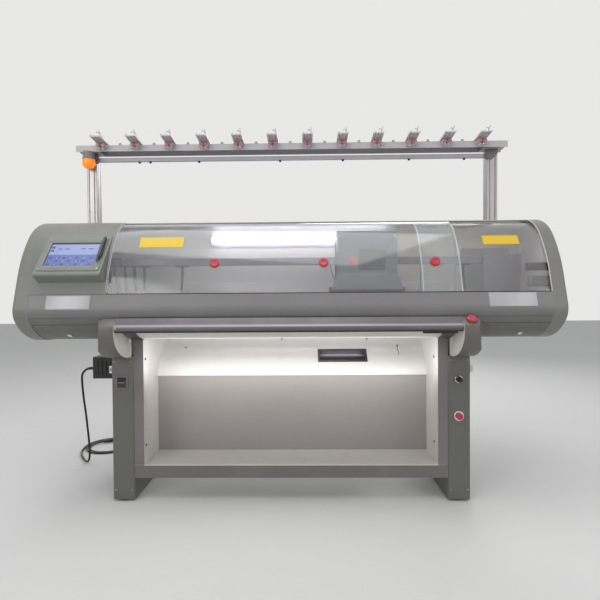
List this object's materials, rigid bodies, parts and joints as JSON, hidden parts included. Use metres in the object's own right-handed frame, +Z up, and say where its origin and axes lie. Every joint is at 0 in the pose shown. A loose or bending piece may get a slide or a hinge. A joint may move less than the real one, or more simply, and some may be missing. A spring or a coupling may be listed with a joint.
{
  "type": "flat knitting machine",
  "caption": "Computerised flat knitting machine with a long hood, sliding clear covers, carriage, yarn feeders, take-down rollers, touch screen, pedestal legs and a yarn stand.",
  "frame": {"origin": "on the floor, midway along the width and the depth of the machine, its mains lead left out", "axes": "+X to the right along the needle beds, -Y to the front where the operator stands, +Z up"},
  "size_m": [2.7963, 1.2088, 1.9861],
  "materials": {
    "grey_paint": "light grey powder coat, satin",
    "hood_front": "mid grey satin paint on an extrusion",
    "hood_end": "light blue-grey satin paint",
    "white_paint": "white powder coat, satin",
    "dark_paint": "dark grey paint, satin",
    "cast": "painted casting, dark grey",
    "bed_steel": "ground steel with a light oil film",
    "bright_steel": "ground bright steel",
    "rail_steel": "black oxide steel rail",
    "aluminium": "anodised extrusion, satin",
    "clear_sheet": "clear acrylic sheet, slightly smoked",
    "screen_glass": "lit glass panel",
    "red_plastic": "red glossy plastic",
    "black_plastic": "black moulded plastic, fine texture",
    "grey_plastic": "grey moulded plastic, satin",
    "lamp_tube": "lit frosted tube",
    "amber_lens": "amber translucent plastic",
    "rubber": "black rubber, matt",
    "chrome": "polished chrome",
    "motor_paint": "black motor enamel"
  },
  "bodies": {
    "machine": {"left_leg": "grey_paint", "right_leg": "grey_paint", "left_arm": "grey_paint", "right_arm": "grey_paint", "levelling_feet": "rubber", "shelf_tray": "white_paint", "side_walls": "white_paint", "back_panel": "white_paint", "chute_panel": "white_paint", "control_box": "grey_paint", "bed_base": "cast", "end_frames": "cast", "front_needle_bed": "bed_steel", "front_cover": "hood_front", "rear_cover": "white_paint", "left_head_cover": "hood_end", "right_end_cover": "hood_end", "screen_housing": "grey_plastic", "touch_screen": "screen_glass", "cover_tracks": "aluminium", "rail_brackets": "cast", "feeder_rails": "rail_steel", "led_tube": "lamp_tube", "roller_bearings": "bright_steel", "gear_motors": "motor_paint", "drive_belt": "rubber", "switch_plate": "black_plastic", "side_hooks": "chrome", "yarn_table": "white_paint", "yarn_posts": "aluminium", "yarn_beam": "white_paint", "guide_rail": "bright_steel", "tension_units": "bright_steel", "signal_lamp": "amber_lens", "power_box": "black_plastic", "mains_cord": "rubber", "mains_plug": "black_plastic"},
    "rear_bed": {"rear_needle_bed": "bed_steel"},
    "long_cover": {"left_cover": "clear_sheet", "cover_knobs": "red_plastic"},
    "short_cover": {"right_cover": "clear_sheet"},
    "carriage": {"carriage_bridge": "dark_paint", "cam_boxes": "cast", "carriage_cover": "dark_paint", "carriage_knob": "red_plastic"},
    "yarn_feeder_1": {"feeder_1": "dark_paint"},
    "yarn_feeder_2": {"feeder_2": "dark_paint"},
    "yarn_feeder_3": {"feeder_3": "dark_paint"},
    "yarn_feeder_4": {"feeder_4": "dark_paint"},
    "yarn_feeder_5": {"feeder_5": "dark_paint"},
    "yarn_feeder_6": {"feeder_6": "dark_paint"},
    "takedown": {"takedown_roller": "rubber"},
    "pinch": {"pinch_roller": "rubber"},
    "drive_wheel": {"drive_pulley": "aluminium"},
    "idler_wheel": {"idler_pulley": "aluminium"},
    "bar": {"operating_bar": "aluminium"},
    "stop": {"stop_button": "red_plastic"},
    "start": {"leg_button": "red_plastic"},
    "selector": {"leg_knob": "black_plastic"},
    "power_switch": {"power_rocker": "black_plastic"}
  },
  "joints": [
    {"name": "carriage_travel", "type": "slide", "parent": "machine", "child": "carriage", "axis": [1, 0, 0], "range_m": [-1.217, 0.413]},
    {"name": "long_cover_slide", "type": "slide", "parent": "machine", "child": "long_cover", "axis": [1, 0, 0], "range_m": [0, 0.41]},
    {"name": "short_cover_slide", "type": "slide", "parent": "machine", "child": "short_cover", "axis": [1, 0, 0], "range_m": [-1.5, 0]},
    {"name": "bed_racking", "type": "slide", "parent": "machine", "child": "rear_bed", "axis": [1, 0, 0], "range_m": [-0.025, 0.025]},
    {"name": "feeder_1_travel", "type": "slide", "parent": "machine", "child": "yarn_feeder_1", "axis": [1, 0, 0], "range_m": [-0.03, 1.89]},
    {"name": "feeder_2_travel", "type": "slide", "parent": "machine", "child": "yarn_feeder_2", "axis": [1, 0, 0], "range_m": [-0.076, 1.844]},
    {"name": "feeder_3_travel", "type": "slide", "parent": "machine", "child": "yarn_feeder_3", "axis": [1, 0, 0], "range_m": [-0.122, 1.798]},
    {"name": "feeder_4_travel", "type": "slide", "parent": "machine", "child": "yarn_feeder_4", "axis": [1, 0, 0], "range_m": [-0.168, 1.752]},
    {"name": "feeder_5_travel", "type": "slide", "parent": "machine", "child": "yarn_feeder_5", "axis": [1, 0, 0], "range_m": [-0.372, 1.548]},
    {"name": "feeder_6_travel", "type": "slide", "parent": "machine", "child": "yarn_feeder_6", "axis": [1, 0, 0], "range_m": [-1.9, 0.02]},
    {"name": "takedown_turn", "type": "hinge", "parent": "machine", "child": "takedown", "pos_m": [0, -0.1682, 0.88], "axis": [1, 0, 0], "continuous": true},
    {"name": "pinch_turn", "type": "hinge", "parent": "machine", "child": "pinch", "pos_m": [0, -0.1118, 0.88], "axis": [1, 0, 0], "continuous": true},
    {"name": "drive_wheel_turn", "type": "hinge", "parent": "machine", "child": "drive_wheel", "pos_m": [-1.19, 0.024, 0.9], "axis": [0, 1, 0], "range_deg": [-1900, 700]},
    {"name": "idler_wheel_turn", "type": "hinge", "parent": "machine", "child": "idler_wheel", "pos_m": [1.19, 0.024, 0.9], "axis": [0, 1, 0], "range_deg": [-1900, 700]},
    {"name": "bar_tilt", "type": "hinge", "parent": "machine", "child": "bar", "pos_m": [0, -0.458, 0.903], "axis": [1, 0, 0], "range_deg": [-5, 15]},
    {"name": "selector_turn", "type": "hinge", "parent": "machine", "child": "selector", "pos_m": [0.86, -0.28, 0.627], "axis": [0, 1, 0], "range_deg": [-45, 45]},
    {"name": "power_switch_tilt", "type": "hinge", "parent": "machine", "child": "power_switch", "pos_m": [-0.866, -0.267, 0.617], "axis": [1, 0, 0], "range_deg": [-6, 6]},
    {"name": "stop_press", "type": "slide", "parent": "machine", "child": "stop", "axis": [0, 0.5948, -0.8038], "range_m": [0, 0.004], "stiffness_N_per_m": 600},
    {"name": "start_press", "type": "slide", "parent": "machine", "child": "start", "axis": [0, 1, 0], "range_m": [0, 0.004], "stiffness_N_per_m": 600}
  ],
  "couplings": [
    {"joint": "pinch_turn", "follows": "takedown_turn", "ratio": -1},
    {"joint": "drive_wheel_turn", "follows": "carriage_travel", "rad_per_m": 26.667},
    {"joint": "idler_wheel_turn", "follows": "carriage_travel", "rad_per_m": 26.667}
  ]
}
